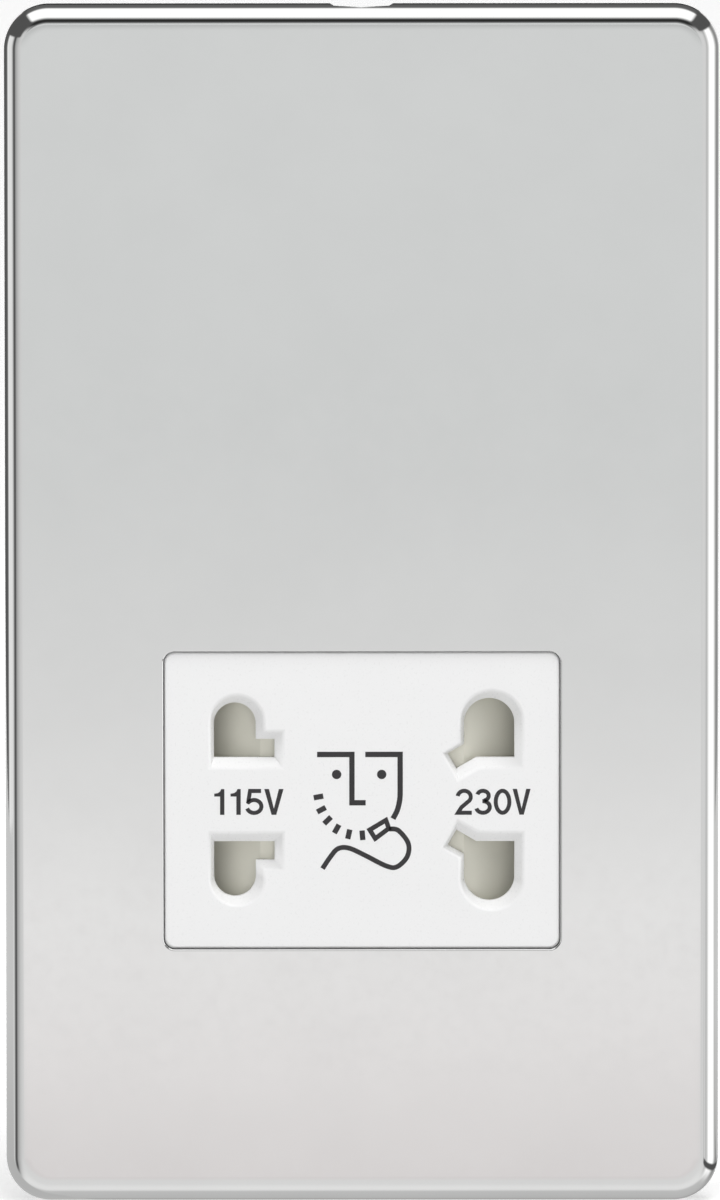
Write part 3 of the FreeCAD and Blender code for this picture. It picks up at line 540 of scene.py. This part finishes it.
def make_spring(name, node):
    """A round-wire coil with closed end turns, as long as the CAD spring."""
    low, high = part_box(node)
    start = low.x + wire_radius
    span = high.x - wire_radius - start
    axis_y = (low.y + high.y) / 2
    axis_z = (low.z + high.z) / 2
    bm = bmesh.new()
    rings = []
    for step in range(spring_turns * turn_steps + 1):
        turn = step / turn_steps
        share = min(1, max(0, (turn - closed_turns) / (spring_turns - 2 * closed_turns)))
        angle = math.tau * turn
        centre = Vector((start + span * share, 0, 0))
        outward = Vector((0, math.cos(angle), math.sin(angle)))
        loop = []
        for side in range(wire_sides):
            around = math.tau * side / wire_sides
            point = centre + outward * (spring_radius + wire_radius * math.cos(around))
            point.x += wire_radius * math.sin(around)
            loop.append(bm.verts.new((point.x, axis_y + point.y, axis_z + point.z)))
        rings.append(loop)
    for first, second in zip(rings, rings[1:]):
        skin(bm, first, second)
    bm.faces.new(rings[0])
    bm.faces.new(rings[-1])
    return new_object(name, bm)


# Finishes.


def shader_of(finish):
    return finish.node_tree.nodes["Principled BSDF"]


def new_finish(name, colour, roughness, metallic=0.0):
    finish = bpy.data.materials.new(name)
    finish.use_nodes = True
    shader = shader_of(finish)
    shader.inputs["Base Color"].default_value = (*colour, 1)
    shader.inputs["Roughness"].default_value = roughness
    shader.inputs["Metallic"].default_value = metallic
    return finish


def texture(finish, kind, scale, stretch=(1, 1, 1), **settings):
    """A texture in the piece's own place, with that many features per metre."""
    tree = finish.node_tree
    place = tree.nodes.new("ShaderNodeTexCoord")
    shape = tree.nodes.new("ShaderNodeMapping")
    shape.inputs["Scale"].default_value = stretch
    pattern = tree.nodes.new(kind)
    pattern.inputs["Scale"].default_value = scale
    for key, value in settings.items():
        if key in pattern.inputs:
            pattern.inputs[key].default_value = value
        else:
            setattr(pattern, key, value)
    tree.links.new(place.outputs["Object"], shape.inputs["Vector"])
    tree.links.new(shape.outputs["Vector"], pattern.inputs["Vector"])
    return pattern.outputs["Fac"]


def vary_gloss(finish, source, low, high):
    """Lets a texture move the roughness between two limits."""
    tree = finish.node_tree
    limits = tree.nodes.new("ShaderNodeMapRange")
    limits.inputs["From Min"].default_value = noise_low
    limits.inputs["From Max"].default_value = noise_high
    limits.inputs["To Min"].default_value = low
    limits.inputs["To Max"].default_value = high
    tree.links.new(source, limits.inputs["Value"])
    tree.links.new(limits.outputs["Result"], shader_of(finish).inputs["Roughness"])


def mottle(finish, source, dark, light):
    """Lets a texture move the colour between two tones."""
    tree = finish.node_tree
    tones = tree.nodes.new("ShaderNodeValToRGB")
    tones.color_ramp.elements[0].position = noise_low
    tones.color_ramp.elements[0].color = (*dark, 1)
    tones.color_ramp.elements[1].position = noise_high
    tones.color_ramp.elements[1].color = (*light, 1)
    tree.links.new(source, tones.inputs["Fac"])
    tree.links.new(tones.outputs["Color"], shader_of(finish).inputs["Base Color"])


def relief(finish, source, height):
    """Lets a texture raise the surface by a height."""
    tree = finish.node_tree
    bump = tree.nodes.new("ShaderNodeBump")
    bump.inputs["Strength"].default_value = 1
    bump.inputs["Distance"].default_value = height
    tree.links.new(source, bump.inputs["Height"])
    tree.links.new(bump.outputs["Normal"], shader_of(finish).inputs["Normal"])


def toned(colour, share):
    return tuple(min(1, value * share) for value in colour)


def plated(name, colour, roughness, swing, wave_height):
    """Smooth metal: soft changes of gloss, and a very slight wave from the press."""
    finish = new_finish(name, colour, roughness, metallic=1.0)
    gloss = texture(finish, noise, scale=700, Detail=6)
    clouds = texture(finish, noise, scale=90, Detail=3)
    wave = texture(finish, noise, scale=120, Detail=2)
    dark = toned(colour, 0.985)
    light = toned(colour, 1.01)
    vary_gloss(finish, gloss, roughness - swing, roughness + swing)
    mottle(finish, clouds, dark, light)
    relief(finish, wave, wave_height)
    return finish


def drawn_metal(name, colour, roughness, stretch):
    """Metal with fine marks along one direction, from drawing, rolling or turning."""
    finish = new_finish(name, colour, roughness, metallic=1.0)
    marks = texture(finish, noise, scale=1, stretch=stretch, Detail=8)
    clouds = texture(finish, noise, scale=260, Detail=5)
    smoother = roughness - 0.09
    rougher = roughness + 0.12
    dark = toned(colour, 0.86)
    light = toned(colour, 1.06)
    mark_depth = 0.006 * mm
    vary_gloss(finish, marks, smoother, rougher)
    mottle(finish, clouds, dark, light)
    relief(finish, marks, mark_depth)
    return finish


def moulded(name, colour, roughness, grain, height, unevenness):
    """Moulded plastic: a grain of that many features per metre, slightly uneven in colour and gloss."""
    finish = new_finish(name, colour, roughness)
    fine = texture(finish, noise, scale=grain, Detail=4)
    broad = texture(finish, noise, scale=110, Detail=4)
    smoother = roughness - 0.05
    rougher = roughness + 0.07
    vary_gloss(finish, fine, smoother, rougher)
    mottle(finish, broad, toned(colour, 1 - unevenness), toned(colour, 1 + unevenness))
    relief(finish, fine, height)
    return finish


def banded(name, colour, roughness, metallic, direction, pitch, height, dark):
    """Many thin layers side by side, such as laminations or turns of wire."""
    finish = new_finish(name, colour, roughness, metallic)
    # At a scale of one, the bands of this texture repeat at this distance.
    full_wave = math.tau / 20
    bands = texture(
        finish,
        "ShaderNodeTexWave",
        scale=full_wave / pitch,
        bands_direction=direction,
        Distortion=0.15,
        Detail=2.0,
    )
    light = toned(colour, 1.08)
    mottle(finish, bands, toned(colour, dark), light)
    relief(finish, bands, height)
    return finish


def make_finishes():
    """One finish for each material slot of the record, and the ink of the print."""
    shades = dict(colours)
    # Painted shade: the shutters' colour is darkened for the shade deep in the apertures.
    shades["shutter_plastic"] = toned(colours["shutter_plastic"], shutter_painted_shade)
    shades["print_ink"] = ink_colour
    # Roughness, grain per metre, height of the grain, and unevenness of the colour.
    plastics = {
        "white_plastic": (0.3, 3500, 0.002 * mm, 0.006),
        "shutter_plastic": (0.42, 3000, 0.006 * mm, 0.03),
        "black_plastic": (0.5, 2600, 0.03 * mm, 0.12),
        "housing_plastic": (0.48, 1800, 0.05 * mm, 0.15),
        "base_plastic": (0.45, 2600, 0.01 * mm, 0.03),
        "bobbin_plastic": (0.4, 2600, 0.008 * mm, 0.03),
        "terminal_plastic": (0.4, 2600, 0.012 * mm, 0.03),
        "plunger_plastic": (0.35, 3000, 0.004 * mm, 0.03),
        "cutout_case": (0.4, 2200, 0.01 * mm, 0.1),
        "print_ink": (0.42, 4000, 0.002 * mm, 0.1),
    }
    # Roughness, and the direction of the marks as marks per metre along each axis.
    upright = (5000, 5000, 80)
    lengthwise = (80, 5000, 5000)
    metals = {
        "zinc_steel": (0.32, upright),
        "spring_steel": (0.3, lengthwise),
        "tinned_brass": (0.35, upright),
        "contact_bronze": (0.3, upright),
        "brass": (0.28, upright),
    }
    # Roughness, share of metal, direction, pitch and height of the layers, and tone of their gaps.
    layers = {
        "core_steel": (0.45, 0.8, "Y", 0.5 * mm, 0.06 * mm, 0.35),
        "copper_winding": (0.3, 0.7, "Z", 0.45 * mm, 0.12 * mm, 0.4),
    }
    made = {"chrome_plate": plated("chrome_plate", shades["chrome_plate"], 0.04, 0.015, 0.0005 * mm)}
    for make, looks_of_slots in ((moulded, plastics), (drawn_metal, metals), (banded, layers)):
        for slot, looks in looks_of_slots.items():
            made[slot] = make(slot, shades[slot], *looks)
    return made


# Stage.


def hide_from(piece, *rays):
    """Keeps a piece of the stage out of some kinds of light rays."""
    for ray in rays:
        setattr(piece, "visible_" + ray, False)


def new_glow(name):
    """A material that only shines, and the node that sets its light."""
    paint = bpy.data.materials.new(name)
    paint.use_nodes = True
    tree = paint.node_tree
    tree.nodes.clear()
    glow = tree.nodes.new("ShaderNodeEmission")
    result = tree.nodes.new("ShaderNodeOutputMaterial")
    tree.links.new(glow.outputs["Emission"], result.inputs["Surface"])
    return paint, glow


def calculate(tree, operation, first, second=None):
    """One step of arithmetic between sockets or numbers."""
    step = tree.nodes.new("ShaderNodeMath")
    step.operation = operation
    for place, value in enumerate((first, second)):
        if isinstance(value, (int, float)):
            step.inputs[place].default_value = value
        elif value is not None:
            tree.links.new(value, step.inputs[place])
    return step.outputs["Value"]


def ease(tree, value, low, high):
    """A share that goes softly from 0 to 1 between two values."""
    step = tree.nodes.new("ShaderNodeMapRange")
    step.interpolation_type = "SMOOTHSTEP"
    step.inputs["From Min"].default_value = low
    step.inputs["From Max"].default_value = high
    tree.links.new(value, step.inputs["Value"])
    return step.outputs["Result"]


def tone_ramp(tree, angle, low, high, tones, red=None):
    """Grey tones given at angles in degrees, between two limits, with a share of red if that is given."""
    share = tree.nodes.new("ShaderNodeMapRange")
    share.inputs["From Min"].default_value = math.radians(low)
    share.inputs["From Max"].default_value = math.radians(high)
    tree.links.new(angle, share.inputs["Value"])
    ramp = tree.nodes.new("ShaderNodeValToRGB")
    stops = ramp.color_ramp.elements
    while len(stops) < len(tones):
        stops.new(0.5)
    for stop, (degrees, _) in zip(stops, tones):
        stop.position = (degrees - low) / (high - low)
    for stop, (degrees, tone) in zip(stops, tones):
        warmth = red(degrees) if red else 1.0
        grey = tone / brightest
        stop.color = (warmth * grey, grey, grey, 1)
    tree.links.new(share.outputs["Result"], ramp.inputs["Fac"])
    return ramp.outputs["Color"]


def blend_tones(tree, share, first, second):
    mix = tree.nodes.new("ShaderNodeMix")
    mix.data_type = "RGBA"
    tree.links.new(share, mix.inputs["Factor"])
    tree.links.new(first, mix.inputs["A"])
    tree.links.new(second, mix.inputs["B"])
    return mix.outputs["Result"]


def table_warmth(degrees):
    """The share of red: light from low down is slightly warm, and from higher up slightly cool."""
    warm = min(1.0, max(0.0, (warm_below - degrees) / warm_blend))
    cool = min(1.0, max(0.0, (degrees - cool_above) / cool_blend))
    return 1.0 + warm_red * warm - cool_red * cool


def make_studio():
    """A soft studio all round: a pale front, panels above and beside the plate, and dark gaps."""
    # Each pair is an angle in degrees from straight ahead and a tone. Angles run upwards, and beside the
    # plate they run to the right.
    above_and_below = [
        (-180, 0.45), (-140, 0.45), (-116, 0.58), (-65, 0.63), (-58, 0.66), (-47, 0.90), (-35, 0.94),
        (-19, 0.90), (-8, 0.83), (1, 0.50), (5, 0.10), (10, 0.03), (19, 0.03), (24, 0.15), (30, 0.60),
        (35, 1.1), (39, 1.3), (100, 1.3), (106, 0.8), (113, 0.22), (125, 0.14), (180, 0.12),
    ]
    beside = [
        (-180, 0.10), (-114, 0.12), (-106, 0.50), (-99, 1.08), (-91, 0.92), (-78, 0.95), (-67, 0.82),
        (-58, 0.25), (-52, 0.08), (-47, 0.12), (-41, 0.40), (-32, 0.55), (-21, 0.69), (-7, 0.78),
        (22, 0.81), (30, 0.75), (37, 0.57), (43, 0.75), (50, 1.05), (56, 1.35), (86, 1.35),
        (95, 1.05), (105, 0.57), (117, 0.31), (134, 0.35), (156, 0.80), (180, 0.90),
    ]
    ahead = [
        (-7.05, 0.79), (-6.75, 0.86), (-6.5, 0.93), (-6.1, 0.97), (-5.3, 0.83), (-4.4, 0.775),
        (-3.7, 0.80), (-2.9, 0.80), (-1.7, 0.73), (-0.2, 0.60), (0.3, 0.97), (0.8, 0.60), (2.5, 0.30),
        (5.0, 0.10), (11.0, 0.03),
    ]
    world = bpy.data.worlds.new("studio")
    world.use_nodes = True
    tree = world.node_tree
    tree.nodes.clear()

    def work_out(operation, first, second=None):
        return calculate(tree, operation, first, second)

    place = tree.nodes.new("ShaderNodeTexCoord")
    parts = tree.nodes.new("ShaderNodeSeparateXYZ")
    tree.links.new(place.outputs["Generated"], parts.inputs["Vector"])
    x = parts.outputs["X"]
    z = parts.outputs["Z"]
    forward = work_out("MULTIPLY", parts.outputs["Y"], -1)
    rise = work_out("ARCTAN2", z, forward)
    turn = work_out("ARCTAN2", x, forward)
    squares = work_out("ADD", work_out("MULTIPLY", x, x), work_out("MULTIPLY", z, z))
    off_axis = work_out("MAXIMUM", work_out("SQRT", squares), smallest_off_axis)
    upright = work_out("DIVIDE", work_out("ABSOLUTE", z), off_axis)
    over = ease(tree, z, -side_blur, side_blur)
    right = ease(tree, x, -side_blur, side_blur)
    panels = blend_tones(
        tree,
        ease(tree, upright, *upright_blend),
        tone_ramp(tree, turn, -180, 180, beside),
        tone_ramp(tree, rise, -180, 180, above_and_below),
    )

    # The dark gaps lie above the plate and to its right, and they are wider above.
    over_right = work_out("MULTIPLY", over, right)
    gap_start = work_out("ADD", work_out("MULTIPLY", over_right, gap_start_extra), gap_start_upright)
    gap_end = work_out("ADD", work_out("MULTIPLY", over, gap_end_extra), gap_end_upright)
    past_start = ease(tree, work_out("SUBTRACT", upright, gap_start), -gap_blur, gap_blur)
    before_end = ease(tree, work_out("SUBTRACT", gap_end, upright), -gap_blur, gap_blur)
    gap_side = work_out("MAXIMUM", over, right)
    gap_reach = work_out("MULTIPLY", gap_side, ease(tree, off_axis, *gap_off_axis))
    gap_share = work_out("MULTIPLY", work_out("MULTIPLY", past_start, before_end), gap_reach)
    gap = tree.nodes.new("ShaderNodeRGB")
    gap_grey = gap_tone / brightest
    gap.outputs["Color"].default_value = (gap_grey, gap_grey, gap_grey, 1)
    around = blend_tones(tree, gap_share, panels, gap.outputs["Color"])

    tones = blend_tones(
        tree,
        ease(tree, off_axis, *ahead_end),
        tone_ramp(tree, rise, ahead_low, ahead_high, ahead, red=table_warmth),
        around,
    )
    light = tree.nodes.new("ShaderNodeBackground")
    light.inputs["Strength"].default_value = brightest
    tree.links.new(tones, light.inputs["Color"])
    result = tree.nodes.new("ShaderNodeOutputWorld")
    tree.links.new(light.outputs["Background"], result.inputs["Surface"])
    bpy.context.scene.world = world


def make_floor():
    """A pale round floor under the plate."""
    bm = bmesh.new()
    bmesh.ops.create_circle(bm, cap_ends=True, segments=floor_sides, radius=stage_radius)
    bmesh.ops.translate(bm, verts=bm.verts, vec=(0, 0, plate_low.z - floor_gap))
    floor = new_object("floor", bm)
    paint = new_finish("floor_paint", (floor_tone,) * 3, floor_roughness)
    clouds = texture(paint, noise, scale=3, Detail=3)
    mottle(paint, clouds, (floor_tone - floor_swing,) * 3, (floor_tone + floor_swing,) * 3)
    floor.data.materials.append(paint)
    shader = shader_of(paint)
    shader.inputs["Emission Color"].default_value = (1, 1, 1, 1)
    shader.inputs["Emission Strength"].default_value = floor_glow
    hide_from(floor, "glossy", "diffuse")


def make_table():
    """The white table beside and behind the plate, seen in the chrome alone, with painted shade that
    darkens its glow near the plate.
    """
    bm = bmesh.new()
    low = plate_low.z - floor_gap / 2
    rim = [(0, table_front, low)]
    for step in range(table_steps + 1):
        angle = math.radians(table_start + (table_end - table_start) * step / table_steps)
        y = table_front - table_half_depth * math.cos(angle)
        rim.append((table_half_width * math.sin(angle), y, low))
    bm.faces.new([bm.verts.new(point) for point in rim])
    table = new_object("table_top", bm)
    paint, glow = new_glow("table_paint")
    tree = paint.node_tree
    place = tree.nodes.new("ShaderNodeTexCoord")
    far = tree.nodes.new("ShaderNodeVectorMath")
    far.operation = "LENGTH"
    tree.links.new(place.outputs["Object"], far.inputs[0])
    # Painted shade: the glow is darkest near the plate and rises farther out.
    share = ease(tree, far.outputs["Value"], painted_shade_fade_start, painted_shade_fade_end)
    lift_out_of_painted_shade = calculate(tree, "MULTIPLY", share, table_lift_out_of_painted_shade)
    tree.links.new(calculate(tree, "ADD", lift_out_of_painted_shade, table_tone_in_painted_shade), glow.inputs["Strength"])
    table.data.materials.append(paint)
    hide_from(table, "camera", "diffuse", "transmission", "shadow")


def make_backdrop():
    """A plain pale dome, seen by the camera alone."""
    bm = bmesh.new()
    rows = dome_sides // 2
    bmesh.ops.create_uvsphere(bm, u_segments=dome_sides, v_segments=rows, radius=stage_radius)
    dome = new_object("backdrop", bm)
    paint, glow = new_glow("backdrop_paint")
    glow.inputs["Color"].default_value = (backdrop_tone, backdrop_tone, backdrop_tone, 1)
    dome.data.materials.append(paint)
    hide_from(dome, "diffuse", "glossy", "transmission", "shadow")


def make_lamp(name, place, size, power):
    """A lamp of a given width and height, aimed at the socket front and not seen in the chrome."""
    lamp = bpy.data.lights.new(name, "AREA")
    lamp.shape = "ELLIPSE"
    lamp.size, lamp.size_y = size
    lamp.energy = power
    holder = bpy.data.objects.new(name, lamp)
    holder.location = place
    aim = Vector((0, 0, socket_z)) - Vector(place)
    holder.rotation_euler = aim.to_track_quat("-Z", "Y").to_euler()
    hide_from(holder, "glossy")
    bpy.context.scene.collection.objects.link(holder)


def make_camera():
    """A long lens that fills the frame with the plate."""
    camera = bpy.data.cameras.new("camera")
    camera.sensor_width = sensor_size
    camera.lens = sensor_size * camera_distance / view_height
    camera.clip_end = 4 * stage_radius
    aim = Vector((camera_aim_x, plate_low.y, camera_aim_z))
    out = Vector((0, -math.cos(camera_rise), math.sin(camera_rise)))
    holder = bpy.data.objects.new("camera", camera)
    holder.location = aim + out * camera_distance
    straight = (-out).to_track_quat("-Z", "Y")
    holder.rotation_euler = (straight @ Quaternion((0, 0, 1), camera_roll)).to_euler()
    bpy.context.scene.collection.objects.link(holder)
    bpy.context.scene.camera = holder


finishes = make_finishes()

for name, node in nodes.items():
    smooth(node.data, node_crease)
    node.data.materials.clear()
    node.data.materials.append(finishes[slots[name]])

add_piece(make_plate(), "chrome_plate", stands_for=["front_plate"])
add_piece(make_socket_front(), "white_plastic", stands_for=["socket_front"])
for side, direction in (("115", -1), ("230", 1)):
    spring_node = "shutter_spring_" + side
    coil = make_spring("return_spring_" + side, spring_node)
    spring = add_piece(coil, "spring_steel", stands_for=[spring_node])
    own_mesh(spring)

for piece in (
    make_legend("legend_115", "115V", legend_115_x, legend_115_width),
    make_legend("legend_230", "230V", legend_230_x, legend_230_width),
    make_shaver_sign(),
):
    piece.data.materials.append(finishes["print_ink"])
    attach(piece, "socket")

make_studio()
make_floor()
make_table()
make_backdrop()
make_lamp("key", key_place, key_size, key_power)
make_lamp("fill", fill_place, fill_size, fill_power)
make_camera()
bpy.context.scene.view_settings.view_transform = "Standard"
